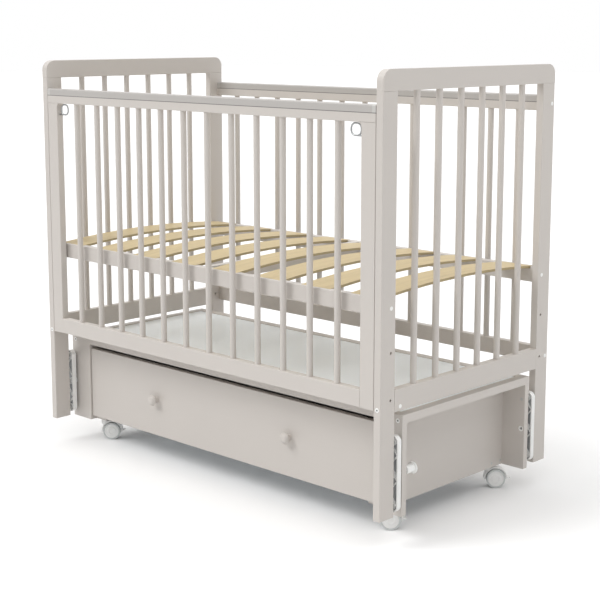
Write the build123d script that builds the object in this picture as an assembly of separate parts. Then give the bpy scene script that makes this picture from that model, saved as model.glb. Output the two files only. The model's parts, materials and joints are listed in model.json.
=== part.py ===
from build123d import *
import math
import os

# A slatted crib that hangs by four swinging links from a drawer base on casters.
# Millimetres. +X runs along the crib, -Y faces the drop side and the drawer, +Z is up.
# The origin is on the floor, at the centre of the crib's footprint.

# Crib frame
crib_length = 1250.0
crib_width = 664.0
crib_height = 1097.0
post_foot_drop = 23.5
panel_thickness = 20.0
post_width = 50.0
edge_radius = 1.5
joint_bevel = 0.8
cut_margin = 1.0
end_top_rail_height = 48.0
end_top_corner_radius = 27.0
end_bottom_rail_gap = 13.5
end_bottom_rail_height = 53.0
spindle_diameter = 15.5
end_spindle_count = 6
end_spindle_margin = 78.0

# Long sides: the fixed one at the rear and the drop side at the front
side_thickness = 20.0
side_top_drop = 77.0
side_rail_height = 40.0
side_bottom_rise = 10.0
side_bottom_rail_height = 42.0
rear_spindle_count = 13
rear_spindle_margin = 80.0
drop_spindle_count = 12
drop_spindle_margin = 77.7
drop_side_gap = 1.3
stile_width = 42.0
stile_corner_radius = 10.0
cover_wall = 2.0
cover_depth = 19.5
cover_corner_radius = 4.0
cover_end_length = 12.0

# Drop side travel, guides and latches
drop_travel = 150.0
guide_pin_diameter = 8.0
guide_pin_seat = 12.0
guide_pin_reach = 5.6
guide_margin = 8.0
groove_clearance = 0.3
groove_depth = 6.0
latch_wire_diameter = 4.0
latch_drop = 31.0
latch_ring_width = 30.0
latch_ring_height = 27.5
latch_ring_radius = 12.0
latch_ring_gap = 8.0
latch_tip_gap = 0.5
latch_seat_depth = 12.0
latch_bore_depth = 30.0
latch_collar_diameter = 7.6
latch_collar_width = 2.0
latch_spring_room = 19.3
latch_spring_wire = 1.0
latch_spring_radius = 3.1
latch_spring_turns = 4

# Slatted bed base
bed_rail_thickness = 20.0
bed_rail_offset = 35.0
bed_rail_height = 40.0
bed_top_rise = 264.5
cross_rail_thickness = 20.0
slat_count = 8
slat_width = 92.0
slat_end_gap = 9.5
slat_thickness = 6.0
slat_bow = 15.0
slat_pocket_depth = 13.0
slat_clearance = 0.5
lower_level_drops = (103.5, 213.5)

# Tie bar between the end panels, behind the drop side
tie_bar_width = 20.0
tie_bar_height = 30.0
tie_bar_offset = 70.0
tie_bar_rise = 11.0

# Fasteners
bolt_diameter = 6.0
bolt_length = 52.0
bolt_hole_diameter = 7.0
bolt_head_diameter = 10.0
bolt_head_height = 4.0
barrel_nut_diameter = 10.0
barrel_nut_length = 14.0
barrel_nut_setback = 9.0
cap_thickness = 1.6
side_bolt_inset = 22.0
side_bolt_rise = 19.0
rail_screw_rise = 13.0
rail_screw_length = 62.0
dowel_diameter = 8.0
dowel_length = 40.0
dowel_offset = 12.0
base_screw_length = 45.0
base_screw_inset = 14.0
base_screw_drop = 14.5

# Pendulum links and their pivots
link_width = 30.0
link_thickness = 13.0
link_overhang = 5.0
link_post_gap = 7.0
link_board_gap = 9.0
link_wall = 3.0
link_web = 3.0
link_rib = 2.4
link_rib_bays = 5
link_boss_diameter = 17.0
upper_pivot_drop = 59.5
link_pitch = 153.5
lock_drop = 78.0
pivot_diameter = 8.0
running_clearance = 0.05
pivot_collar_diameter = 14.0
pivot_head_diameter = 12.0
pivot_head_thickness = 2.0
pivot_seat_depth = 25.0
pivot_side_gap = 0.3

# Base carcass
board_width = 80.0
board_thickness = 16.0
base_height = 244.0
base_frame_thickness = 20.0
side_panel_lap = 4.0
front_member_width = 40.0
border_width = 24.0
dust_panel_thickness = 3.2
dust_panel_recess = 2.0
rear_panel_rise = 43.5

# Lock screw at the front right corner, and the lock bushes in all four boards
lock_bush_diameter = 14.0
lock_screw_diameter = 7.4
lock_screw_clearance = 0.3
lock_tip_proud = 2.0
lock_knob_diameter = 20.0
lock_knob_length = 30.0
lock_flange_diameter = 29.0
lock_flange_thickness = 5.0
lock_knob_start = 7.3

# Drawer
drawer_front_side_gap = 1.0
drawer_front_top_gap = 12.5
drawer_front_rise = 11.5
drawer_front_recess = 5.0
drawer_front_gap = 0.5
drawer_panel_thickness = 16.0
drawer_side_thickness = 12.0
drawer_box_rise = 34.5
drawer_box_top_gap = 49.5
drawer_back_clearance = 21.0
drawer_floor_thickness = 4.0
drawer_floor_rise = 6.0
drawer_groove_depth = 6.0
drawer_runner_width = 13.5
drawer_runner_height = 36.0
drawer_runner_setback = 32.0
drawer_runner_wall = 1.5
drawer_runner_rise = 72.0
drawer_runner_clearance = 0.3
drawer_knob_spacing = 510.0
drawer_knob_rise = 103.0
drawer_knob_diameter = 31.0
drawer_knob_length = 25.0
drawer_knob_neck_diameter = 15.0
drawer_knob_neck_length = 10.0
drawer_knob_widest = 17.0
drawer_knob_crown_diameter = 22.0
drawer_knob_crown_drop = 2.6
drawer_knob_flat_diameter = 10.0

# Casters
caster_inset = 9.5
caster_setback = 19.0
caster_heading = 43.0
caster_trail = 20.0
wheel_diameter = 50.0
wheel_width = 12.0
wheel_spacing = 22.0
wheel_dish = 1.6
wheel_disc_diameter = 43.0
wheel_hub_diameter = 23.6
wheel_hub_bevel = 1.0
axle_diameter = 6.0
hood_radius = 30.0
hood_wall = 3.0
hood_half_width = 12.0
hood_web = 8.0
hood_skirt = 3.0
caster_boss_diameter = 22.0
caster_boss_drop = 17.0
caster_stem_diameter = 8.0
caster_stem_length = 25.0
caster_bore_extra = 1.0
caster_neck = 6.2
caster_top_gap = 0.3
block_length = 36.0
block_width = 47.0
block_height = 30.0
brake_hub_diameter = 6.0
brake_pin_diameter = 3.0
brake_tab_length = 10.0
brake_tab_width = 16.0
brake_tab_thickness = 2.5
brake_gap = 0.3

# Places that follow from the sizes above: heights, from the floor up
caster_mount_z = wheel_diameter / 2 + hood_radius + caster_neck
base_bottom_z = caster_mount_z + caster_top_gap
base_top_z = base_bottom_z + base_height
frame_bottom_z = base_top_z - base_frame_thickness
base_screw_z = base_top_z - base_screw_drop
rear_panel_bottom_z = base_bottom_z + rear_panel_rise
upper_pivot_z = base_top_z - upper_pivot_drop
lower_pivot_z = upper_pivot_z - link_pitch
lock_z = upper_pivot_z - lock_drop
post_bottom_z = lower_pivot_z - post_foot_drop
post_top_z = crib_height - end_top_rail_height
end_bottom_rail_z = base_top_z + end_bottom_rail_gap
rail_screw_z = end_bottom_rail_z + rail_screw_rise
tie_bar_z = end_bottom_rail_z + tie_bar_rise
side_bottom_z = end_bottom_rail_z + side_bottom_rise
side_top_z = crib_height - side_top_drop
rail_z = side_top_z - side_rail_height
latch_z = rail_z - latch_drop
guide_z = side_bottom_z + drop_travel + guide_margin
bed_top_z = end_bottom_rail_z + bed_top_rise
bed_bolt_z = bed_top_z - bed_rail_height / 2
lower_level_z = [bed_bolt_z - drop for drop in lower_level_drops]
drawer_front_bottom_z = base_bottom_z + drawer_front_rise
drawer_front_top_z = frame_bottom_z - drawer_front_top_gap
drawer_knob_z = drawer_front_bottom_z + drawer_knob_rise
drawer_box_bottom_z = base_bottom_z + drawer_box_rise
drawer_box_top_z = frame_bottom_z - drawer_box_top_gap
drawer_runner_z = drawer_box_bottom_z + drawer_runner_rise

# Places along the crib
end_x = crib_length / 2
panel_x = end_x - panel_thickness
panel_mid_x = end_x - panel_thickness / 2
drop_x = panel_x - drop_side_gap
stile_x = drop_x - stile_width
latch_shoulder_x = drop_x - latch_bore_depth
latch_collar_x = latch_shoulder_x + latch_spring_room
groove_x = panel_x + groove_depth
groove_width = guide_pin_diameter + 2 * groove_clearance
link_x = end_x - link_width / 2 + link_overhang
base_screw_x = end_x - base_screw_inset
board_x = end_x - board_width
side_panel_in_x = board_x - side_panel_lap
side_panel_x = side_panel_in_x + board_thickness
caster_x = side_panel_in_x - caster_inset
drawer_front_x = board_x - drawer_front_side_gap
drawer_rebate_x = drawer_front_x + drawer_front_gap
drawer_side_x = side_panel_in_x - drawer_runner_width

# Places across the crib
outer_y = crib_width / 2
post_y = outer_y - post_width
side_y = outer_y - side_thickness / 2
bed_rail_y = outer_y - bed_rail_offset
tie_bar_y = outer_y - tie_bar_offset
link_out_y = post_y - link_post_gap
link_in_y = link_out_y - link_thickness
link_y = (link_out_y + link_in_y) / 2
board_y = link_in_y - link_board_gap
board_in_y = board_y - board_thickness
rear_panel_y = board_in_y - board_thickness
drawer_face_y = board_y - drawer_front_recess
drawer_back_y = drawer_face_y - drawer_panel_thickness
drawer_rebate_y = drawer_back_y - drawer_front_gap
drawer_far_y = rear_panel_y - drawer_back_clearance
caster_y = drawer_rebate_y - caster_setback

turns = {"X": Rotation(0, 90, 0), "Y": Rotation(-90, 0, 0), "Z": Rotation(0, 0, 0)}


# Helpers


def block(x, y, z):
    """A box between limits; x, y and z are (low, high) pairs."""
    sizes = [high - low for low, high in (x, y, z)]
    centre = [(high + low) / 2 for low, high in (x, y, z)]
    return Pos(*centre) * Box(*sizes)


def rod(start, axis, radius, length):
    """A round bar that runs from start along an axis, the other way if its length is negative."""
    return Pos(*start) * turns[axis] * Pos(0, 0, length / 2) * Cylinder(radius, abs(length))


def softened(shape, axis, radius=edge_radius):
    """Rounds the edges that run along one axis."""
    return fillet(shape.edges().filter_by(axis), radius)


def row(count, reach):
    """Positions of count things at one pitch, from -reach to reach."""
    return [-reach + 2 * reach * i / (count - 1) for i in range(count)]


def both_ends(shape):
    return [shape, mirror(shape, about=Plane.YZ)]


def both_sides(shape):
    return [shape, mirror(shape, about=Plane.XZ)]


def four_corners(shape):
    return [copy for end in both_ends(shape) for copy in both_sides(end)]


def save(name, shapes):
    """Writes one sub-part; its pieces stay separate solids."""
    solids = [solid for shape in shapes for solid in shape.solids()]
    export_step(Compound(solids), f"parts/{name}.step")


# Fasteners


def bolt(y, z):
    """A bolt along X through the right end panel, its barrel nut and its cap, then the holes for them."""
    head_x = end_x - cap_thickness
    neck_x = head_x - bolt_head_height
    tip_x = neck_x - bolt_length
    nut_x = tip_x + barrel_nut_setback
    shank = rod((neck_x, y, z), "X", bolt_diameter / 2, -bolt_length)
    head = rod((head_x, y, z), "X", bolt_head_diameter / 2, -bolt_head_height)
    nut = rod((nut_x, y, z - barrel_nut_length / 2), "Z", barrel_nut_diameter / 2, barrel_nut_length)
    cap = rod((end_x, y, z), "X", bolt_head_diameter / 2, -cap_thickness)
    return {"bolt": shank + head, "nut": nut - shank, "cap": cap}


def bolt_holes(y, z, from_x, to_x):
    """What a bolt takes out of the wood between two X limits."""
    clear = rod((from_x, y, z), "X", bolt_hole_diameter / 2, to_x - from_x)
    counterbore_depth = cap_thickness + bolt_head_height
    return clear + rod((end_x, y, z), "X", bolt_head_diameter / 2, -counterbore_depth)


def nut_pocket(y, z, floor_z):
    """The blind hole from below that takes a barrel nut."""
    nut_x = end_x - cap_thickness - bolt_head_height - bolt_length + barrel_nut_setback
    top_z = z + barrel_nut_length / 2
    return rod((nut_x, y, top_z), "Z", barrel_nut_diameter / 2, floor_z - top_z)


def bolt_bore(y, z):
    """The hole in the end grain of a rail for a bolt's shank."""
    tip_x = end_x - cap_thickness - bolt_head_height - bolt_length
    return rod((tip_x, y, z), "X", bolt_hole_diameter / 2, panel_x - tip_x)


bed_bolts = [(bed_rail_y, bed_bolt_z), (-bed_rail_y, bed_bolt_z)]
rear_bolts = [(side_y, side_top_z - side_bolt_inset), (side_y, side_bottom_z + side_bolt_rise)]
tie_bolt = (-tie_bar_y, tie_bar_z)


def frame_bolts():
    made = [bolt(*place) for place in bed_bolts + rear_bolts + [tie_bolt]]
    bolts = [piece for item in made for piece in both_ends(item["bolt"])]
    nuts = [piece for item in made for piece in both_ends(item["nut"])]
    caps = [piece for item in made for piece in both_ends(item["cap"])]
    return bolts, nuts, caps


def rail_screw():
    """A long screw through a post's edge into the end of the end bottom rail, and its cap."""
    head_y = outer_y - cap_thickness
    shank = rod((panel_mid_x, head_y, rail_screw_z), "Y", bolt_diameter / 2, -rail_screw_length)
    head = rod((panel_mid_x, head_y, rail_screw_z), "Y", bolt_head_diameter / 2, -bolt_head_height)
    cap = rod((panel_mid_x, outer_y, rail_screw_z), "Y", bolt_head_diameter / 2, -cap_thickness)
    return shank + head, cap


def rail_screw_hole():
    """The counterbored hole for a rail screw and its cap."""
    start = (panel_mid_x, outer_y, rail_screw_z)
    bore = rod(start, "Y", bolt_diameter / 2, -cap_thickness - rail_screw_length)
    return bore + rod(start, "Y", bolt_head_diameter / 2, -cap_thickness - bolt_head_height)


def dowel():
    start = (panel_mid_x, post_y + dowel_offset, post_top_z - dowel_length / 2)
    return rod(start, "Z", dowel_diameter / 2, dowel_length)


# End panels


def post(front):
    """The right front or right rear post."""
    side = -1 if front else 1
    y_limits = sorted((side * post_y, side * outer_y))
    body = softened(block((panel_x, end_x), y_limits, (post_bottom_z, post_top_z)), Axis.Z)
    body = chamfer(body.faces().sort_by(Axis.Z)[-1].edges(), joint_bevel)
    cuts = [rail_screw_hole(), dowel(), lower_pivot_pin()]
    cuts = [mirror(cut, about=Plane.XZ) for cut in cuts] if front else cuts
    for z in lower_level_z:
        cuts.append(rod((panel_x, side * bed_rail_y, z), "X", bolt_hole_diameter / 2, panel_thickness))
    cuts.append(bolt_holes(side * bed_rail_y, bed_bolt_z, panel_x, end_x))
    if front:
        cuts.append(post_groove())
    else:
        cuts += [bolt_holes(y, z, panel_x, end_x) for y, z in rear_bolts]
    for cut in cuts:
        body -= cut
    return body


def post_groove():
    """The groove that guides the drop side, hidden behind its stile, with the two latch seats."""
    low_z = guide_z - drop_travel
    radius = groove_width / 2
    groove = block((panel_x, groove_x), (-side_y - radius, -side_y + radius), (low_z, latch_z))
    for z in (low_z, latch_z):
        groove += rod((panel_x, -side_y, z), "X", radius, groove_depth)
    seat_radius = latch_wire_diameter / 2 + groove_clearance
    for z in (latch_z - drop_travel, latch_z):
        groove += rod((panel_x, -side_y, z), "X", seat_radius, latch_seat_depth)
    return groove


def end_top_rail():
    """The right end's top rail, with its two rounded upper corners."""
    rail = block((panel_x, end_x), (-outer_y, outer_y), (post_top_z, crib_height))
    upper = rail.edges().filter_by(Axis.X).group_by(Axis.Z)[-1]
    rail = fillet(upper, end_top_corner_radius)
    rail = chamfer(rail.faces().sort_by(Axis.Z)[0].edges(), joint_bevel)
    for face in (rail.faces().sort_by(Axis.X)[-1], rail.faces().sort_by(Axis.X)[0]):
        rail = fillet(face.edges().group_by(Axis.Z)[-1], edge_radius)
    for peg in both_sides(dowel()):
        rail -= peg
    return rail


def end_bottom_rail():
    z_limits = (end_bottom_rail_z, end_bottom_rail_z + end_bottom_rail_height)
    rail = softened(block((panel_x, end_x), (-post_y, post_y), z_limits), Axis.Y)
    for hole in both_sides(rail_screw_hole()):
        rail -= hole
    return rail - bolt_holes(*tie_bolt, panel_x, end_x)


def end_spindles():
    foot_z = end_bottom_rail_z + end_bottom_rail_height
    height = post_top_z - foot_z
    radius = spindle_diameter / 2
    places = row(end_spindle_count, post_y - end_spindle_margin)
    return [rod((panel_mid_x, y, foot_z), "Z", radius, height) for y in places]


# Long sides


def side_top_rail(half_length):
    """A top rail along X at the rear; its upper part is rebated all round for the cover."""
    y_limits = (outer_y - side_thickness, outer_y)
    cover_z = side_top_z - cover_depth
    foot = block((-half_length, half_length), y_limits, (rail_z, cover_z))
    lower_edges = foot.edges().filter_by(Axis.X).group_by(Axis.Z)[0]
    foot = fillet(lower_edges, edge_radius)
    core_y = (y_limits[0] + cover_wall, y_limits[1] - cover_wall)
    return foot + block((-half_length, half_length), core_y, (cover_z, side_top_z - cover_wall))


def rail_cover(half_length):
    """The soft cover that clips over a top rail, and a short clear piece at each of its ends."""
    y_limits = (outer_y - side_thickness, outer_y)
    cover_z = side_top_z - cover_depth
    outer = block((-half_length, half_length), y_limits, (cover_z, side_top_z))
    outer = fillet(outer.edges().filter_by(Axis.X).group_by(Axis.Z)[-1], cover_corner_radius)
    core_y = (y_limits[0] + cover_wall, y_limits[1] - cover_wall)
    shell = outer - block((-half_length, half_length), core_y, (cover_z, side_top_z - cover_wall))
    joint_x = half_length - cover_end_length
    whole = block((-joint_x, joint_x), y_limits, (cover_z, side_top_z))
    ends = [part for part in (shell - whole).solids()]
    return [shell & whole], ends


def side_bottom_rail(half_length):
    z_limits = (side_bottom_z, side_bottom_z + side_bottom_rail_height)
    rail = block((-half_length, half_length), (outer_y - side_thickness, outer_y), z_limits)
    return softened(rail, Axis.X)


def side_spindles(count, reach):
    foot_z = side_bottom_z + side_bottom_rail_height
    radius = spindle_diameter / 2
    return [rod((x, side_y, foot_z), "Z", radius, rail_z - foot_z) for x in row(count, reach)]


def rear_side():
    """The fixed side: two rails bolted between the end panels, thirteen spindles and the cover."""
    top = side_top_rail(panel_x)
    bottom = side_bottom_rail(panel_x)
    for (y, z), floor_z in zip(rear_bolts, (rail_z, side_bottom_z)):
        for cut in both_ends(bolt_bore(y, z)) + both_ends(nut_pocket(y, z, floor_z)):
            top -= cut
            bottom -= cut
    cover, ends = rail_cover(panel_x)
    return top, bottom, side_spindles(rear_spindle_count, panel_x - rear_spindle_margin), cover + ends


def stile():
    """The drop side's right stile, with its rounded inner corner, its guide pin bore and its latch bore."""
    y_limits = (-outer_y, -outer_y + side_thickness)
    body = softened(block((stile_x, drop_x), y_limits, (side_bottom_z, rail_z)), Axis.Z)
    corner_x = (stile_x - stile_corner_radius, stile_x + edge_radius)
    corner = block(corner_x, y_limits, (rail_z - stile_corner_radius, rail_z))
    hollow = (stile_x - stile_corner_radius, -outer_y, rail_z - stile_corner_radius)
    body += corner - rod(hollow, "Y", stile_corner_radius, side_thickness)
    pin_radius = guide_pin_diameter / 2 + running_clearance
    body -= rod((drop_x, -side_y, guide_z), "X", pin_radius, -guide_pin_seat)
    body -= rod((drop_x, -side_y, latch_z), "X", groove_width / 2, -latch_bore_depth)
    wire_radius = latch_wire_diameter / 2 + groove_clearance
    return body - rod((drop_x, -side_y, latch_z), "X", wire_radius, -stile_width)


def guide_pin():
    start = (drop_x - guide_pin_seat, -side_y, guide_z)
    return rod(start, "X", guide_pin_diameter / 2, guide_pin_seat + guide_pin_reach)


def drop_side():
    """The front side, which slides down between the posts."""
    top = mirror(side_top_rail(drop_x), about=Plane.XZ)
    bottom = mirror(side_bottom_rail(stile_x), about=Plane.XZ)
    cover, ends = rail_cover(drop_x)
    covers = [mirror(piece, about=Plane.XZ) for piece in cover + ends]
    spindles = side_spindles(drop_spindle_count, stile_x - drop_spindle_margin)
    return top, bottom, [mirror(spindle, about=Plane.XZ) for spindle in spindles], covers


# Latches


def latch_wire():
    """The right latch: a closed finger ring of bent wire, its arm through the stile and its collar."""
    radius = latch_wire_diameter / 2
    near_x = stile_x - latch_ring_gap
    centre = (near_x - latch_ring_width / 2, -side_y, latch_z + latch_ring_height / 2)
    loop = RectangleRounded(latch_ring_width, latch_ring_height, latch_ring_radius)
    path = Plane(origin=centre, x_dir=(1, 0, 0), z_dir=(0, -1, 0)) * loop
    wire = path.wire()
    section = Plane(origin=wire @ 0, z_dir=wire % 0) * Circle(radius)
    ring = sweep(section, path=wire)
    root_x = near_x - latch_ring_width / 2
    tip_x = groove_x - latch_tip_gap
    arm = rod((root_x, -side_y, latch_z), "X", radius, tip_x - root_x)
    collar = rod((latch_collar_x, -side_y, latch_z), "X", latch_collar_diameter / 2, latch_collar_width)
    return ring + arm + collar


def latch_spring():
    """The right latch's spring, between the shoulder in the stile and the collar on the wire."""
    start = latch_shoulder_x + latch_spring_wire / 2 + running_clearance
    length = latch_spring_room - latch_spring_wire - 2 * running_clearance
    pitch = length / latch_spring_turns
    coil = Helix(pitch, length, latch_spring_radius)
    section = Plane(origin=coil @ 0, z_dir=coil % 0) * Rectangle(latch_spring_wire, latch_spring_wire)
    spring = sweep(section, path=coil, is_frenet=True)
    print("least gap between the spring's turns:", round(pitch - latch_spring_wire, 2), "mm")
    return Pos(start, -side_y, latch_z) * turns["X"] * spring


# Slatted bed base


def slat_places():
    return row(slat_count, panel_x - slat_end_gap - slat_width / 2)


def slat(x):
    """One bowed slat, an arched strip whose ends lie in pockets in the long rails."""
    half_span = bed_rail_y - bed_rail_thickness / 2 + slat_pocket_depth - slat_clearance
    z = bed_top_z
    low = z - slat_thickness
    ends = ((-half_span, z), (half_span, z), (half_span, low), (-half_span, low))
    upper = ThreePointArc(ends[0], (0, z + slat_bow), ends[1])
    lower = ThreePointArc(ends[2], (0, low + slat_bow), ends[3])
    outline = Wire([upper, Line(ends[1], ends[2]), lower, Line(ends[3], ends[0])])
    face = Plane.YZ.offset(x - slat_width / 2) * make_face(outline)
    return extrude(face, slat_width)


def bed_rail():
    """The rear long rail, with a pocket for each slat and a nut pocket near each end."""
    y_limits = (bed_rail_y - bed_rail_thickness / 2, bed_rail_y + bed_rail_thickness / 2)
    rail = softened(block((-panel_x, panel_x), y_limits, (bed_top_z - bed_rail_height, bed_top_z)), Axis.X)
    half = slat_width / 2 + slat_clearance
    floor_z = bed_top_z - slat_thickness
    pocket_y = (y_limits[0] - cut_margin, y_limits[0] + slat_pocket_depth)
    for x in slat_places():
        rail -= block((x - half, x + half), pocket_y, (floor_z, bed_top_z + cut_margin))
    foot_z = bed_top_z - bed_rail_height
    for cut in both_ends(bolt_bore(bed_rail_y, bed_bolt_z)):
        rail -= cut
    for cut in both_ends(nut_pocket(bed_rail_y, bed_bolt_z, foot_z)):
        rail -= cut
    return rail


def cross_rail():
    half = cross_rail_thickness / 2
    inner_y = bed_rail_y - bed_rail_thickness / 2
    return block((-half, half), (-inner_y, inner_y), (bed_top_z - bed_rail_height, bed_top_z))


def tie_bar():
    y_limits = (-tie_bar_y - tie_bar_width / 2, -tie_bar_y + tie_bar_width / 2)
    z_limits = (tie_bar_z - tie_bar_height / 2, tie_bar_z + tie_bar_height / 2)
    bar = softened(block((-panel_x, panel_x), y_limits, z_limits), Axis.X)
    for cut in both_ends(bolt_bore(*tie_bolt)) + both_ends(nut_pocket(*tie_bolt, z_limits[0])):
        bar -= cut
    return bar


# Pendulum links


def pivot_pin(z, seat_y, far_y, seat_depth):
    """A shouldered pin along Y at the right rear corner: its seat in the wood, its collar, shank and head."""
    away = 1 if seat_y > far_y else -1
    near_y = link_out_y if away > 0 else link_in_y
    collar_end = near_y + away * pivot_side_gap
    head_start = far_y - away * pivot_side_gap
    radius = pivot_diameter / 2
    start = (link_x, seat_y + away * seat_depth, z)
    reach = head_start - away * pivot_head_thickness - start[1]
    pin = rod(start, "Y", radius, reach)
    pin += rod((link_x, seat_y, z), "Y", pivot_collar_diameter / 2, collar_end - seat_y)
    return pin + rod((link_x, head_start, z), "Y", pivot_head_diameter / 2, -away * pivot_head_thickness)


def upper_pivot_pin():
    return pivot_pin(upper_pivot_z, board_y, link_out_y, board_thickness)


def lower_pivot_pin():
    return pivot_pin(lower_pivot_z, post_y, link_in_y, pivot_seat_depth)


def link_outline(radius):
    """A racetrack round the two pivots."""
    middle_z = (upper_pivot_z + lower_pivot_z) / 2
    straight = Rectangle(2 * radius, link_pitch)
    ends = Pos(0, link_pitch / 2) * Circle(radius) + Pos(0, -link_pitch / 2) * Circle(radius)
    return Pos(0, middle_z) * (straight + ends)


def link_ribs():
    """The zigzag of ribs between the link's two edges, as one flat shape."""
    inner = link_width / 2 - link_wall / 2
    pitch = link_pitch / link_rib_bays
    corners = []
    for i in range(link_rib_bays + 1):
        corners.append(((-1) ** i * inner, lower_pivot_z + i * pitch))
    ribs = Sketch()
    for (x0, z0), (x1, z1) in zip(corners, corners[1:]):
        length = math.hypot(x1 - x0, z1 - z0)
        angle = math.degrees(math.atan2(z1 - z0, x1 - x0))
        ribs += Pos((x0 + x1) / 2, (z0 + z1) / 2) * Rot(0, 0, angle) * Rectangle(length, link_rib)
    return ribs


def pendulum_link():
    """The right rear link: a ribbed bar with an edge all round, a thin web and a boss at each hole."""
    outer = link_outline(link_width / 2)
    rim = outer - link_outline(link_width / 2 - link_wall)
    holes = Sketch()
    bosses = Sketch()
    for z in (upper_pivot_z, lock_z, lower_pivot_z):
        bosses += Pos(0, z) * Circle(link_boss_diameter / 2)
        holes += Pos(0, z) * Circle(pivot_diameter / 2 + running_clearance)
    ribs = link_ribs() & outer
    plane = Plane(origin=(link_x, link_y, 0), x_dir=(1, 0, 0), z_dir=(0, -1, 0))
    thick = extrude(plane * (rim + ribs + bosses), link_thickness / 2, both=True)
    web = extrude(plane * outer, link_web / 2, both=True)
    return thick + web - extrude(plane * holes, link_thickness, both=True)


# Base carcass


def corner_board():
    """The right rear board; a link hangs from it."""
    y_limits = (board_in_y, board_y)
    board = softened(block((board_x, end_x), y_limits, (base_bottom_z, base_top_z)), Axis.Y)
    board -= upper_pivot_pin()
    board -= rod((link_x, board_in_y, lock_z), "Y", lock_bush_diameter / 2, board_thickness)
    return board - base_screw()


def lock_bush():
    """A flanged ring pressed into a corner board for the lock screw."""
    bore = lock_screw_diameter / 2 + lock_screw_clearance
    ring = rod((link_x, board_in_y, lock_z), "Y", lock_bush_diameter / 2, board_thickness)
    return ring - rod((link_x, board_in_y, lock_z), "Y", bore, board_thickness)


def side_panel():
    """The right side panel; its front edge is rebated for the end of the drawer front."""
    z_limits = (base_bottom_z, frame_bottom_z)
    panel = block((side_panel_in_x, side_panel_x), (-board_in_y, board_in_y), z_limits)
    return panel - block((side_panel_in_x, drawer_rebate_x), (-board_in_y, -drawer_rebate_y), z_limits)


def rear_panel():
    x_limits = (-side_panel_in_x, side_panel_in_x)
    return block(x_limits, (rear_panel_y, board_in_y), (rear_panel_bottom_z, frame_bottom_z))


def long_rail():
    """The strip between the two rear boards, flush with them."""
    return block((-board_x, board_x), (board_in_y, board_y), (frame_bottom_z, base_top_z))


def top_frame():
    """Four members that close the top of the base, rebated for the dust panel."""
    z_limits = (frame_bottom_z, base_top_z)
    end_member = block((side_panel_in_x, end_x), (-board_in_y, board_in_y), z_limits)
    long_y = (board_in_y - front_member_width, board_in_y)
    long_member = block((-side_panel_in_x, side_panel_in_x), long_y, z_limits)
    members = both_ends(end_member) + both_sides(long_member)
    panel = dust_panel()
    rebate = block(*panel_limits(), (panel.bounding_box().min.Z, base_top_z))
    members = [member - rebate for member in members]
    screws = four_corners(base_screw())
    cut = []
    for member in members:
        for screw in screws:
            member -= screw
        cut.append(member)
    return cut


def panel_limits():
    x = end_x - border_width
    y = board_y - border_width
    return (-x, x), (-y, y)


def dust_panel():
    top_z = base_top_z - dust_panel_recess
    return block(*panel_limits(), (top_z - dust_panel_thickness, top_z))


def base_screw():
    """The screw that ties the right rear board to the frame's end member."""
    shank = rod((base_screw_x, board_y, base_screw_z), "Y", bolt_diameter / 2, -base_screw_length)
    return shank + rod((base_screw_x, board_y, base_screw_z), "Y", bolt_head_diameter / 2, -bolt_head_height)


def caster_block():
    """The right rear block inside the side panel; the caster's stem turns in it."""
    x_limits = (side_panel_in_x - block_length, side_panel_in_x)
    y_limits = (drawer_rebate_y - block_width, drawer_rebate_y)
    body = block(x_limits, y_limits, (base_bottom_z, base_bottom_z + block_height))
    bore = caster_stem_diameter / 2 + running_clearance
    return body - rod((caster_x, caster_y, base_bottom_z), "Z", bore, caster_stem_length + caster_bore_extra)


def lock_knob():
    """The front right lock screw, drawn back so that the crib can swing."""
    tip_y = -board_y - lock_tip_proud
    neck_y = -board_in_y + lock_knob_start
    radius = lock_screw_diameter / 2
    shank = rod((link_x, tip_y, lock_z), "Y", radius, neck_y - tip_y)
    body = rod((link_x, neck_y, lock_z), "Y", lock_knob_diameter / 2, lock_knob_length)
    flange_y = neck_y + lock_knob_length - lock_flange_thickness
    flange = rod((link_x, flange_y, lock_z), "Y", lock_flange_diameter / 2, lock_flange_thickness)
    flange = chamfer(flange.edges().filter_by(GeomType.CIRCLE), edge_radius)
    return shank + body + flange


# Drawer


def drawer_front():
    x_limits = (-drawer_front_x, drawer_front_x)
    z_limits = (drawer_front_bottom_z, drawer_front_top_z)
    panel = block(x_limits, (-drawer_face_y, -drawer_back_y), z_limits)
    return fillet(panel.faces().sort_by(Axis.Y)[0].edges(), edge_radius) - drawer_floor()


def drawer_side():
    y_limits = (-drawer_back_y, drawer_far_y)
    z_limits = (drawer_box_bottom_z, drawer_box_top_z)
    return block((drawer_side_x - drawer_side_thickness, drawer_side_x), y_limits, z_limits) - drawer_floor()


def drawer_back():
    inner_x = drawer_side_x - drawer_side_thickness
    y_limits = (drawer_far_y - drawer_side_thickness, drawer_far_y)
    z_limits = (drawer_box_bottom_z, drawer_box_top_z)
    return block((-inner_x, inner_x), y_limits, z_limits) - drawer_floor()


def drawer_floor():
    """The thin floor, held in grooves in the walls."""
    half = drawer_side_x - drawer_side_thickness + drawer_groove_depth
    front_y = -drawer_back_y - drawer_groove_depth
    back_y = drawer_far_y - drawer_side_thickness + drawer_groove_depth
    floor_z = drawer_box_bottom_z + drawer_floor_rise
    return block((-half, half), (front_y, back_y), (floor_z, floor_z + drawer_floor_thickness))


def channel(x_web, x_open, height, wall):
    """A U-shaped runner section along Y; its web is at x_web and it is open at x_open."""
    y_limits = (-drawer_back_y, drawer_far_y - drawer_runner_setback)
    z_limits = (drawer_runner_z - height / 2, drawer_runner_z + height / 2)
    x_limits = sorted((x_web, x_open))
    solid = block(x_limits, y_limits, z_limits)
    inset = wall if x_open > x_web else -wall
    hollow_x = sorted((x_web + inset, x_open))
    return solid - block(hollow_x, y_limits, (z_limits[0] + wall, z_limits[1] - wall))


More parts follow.
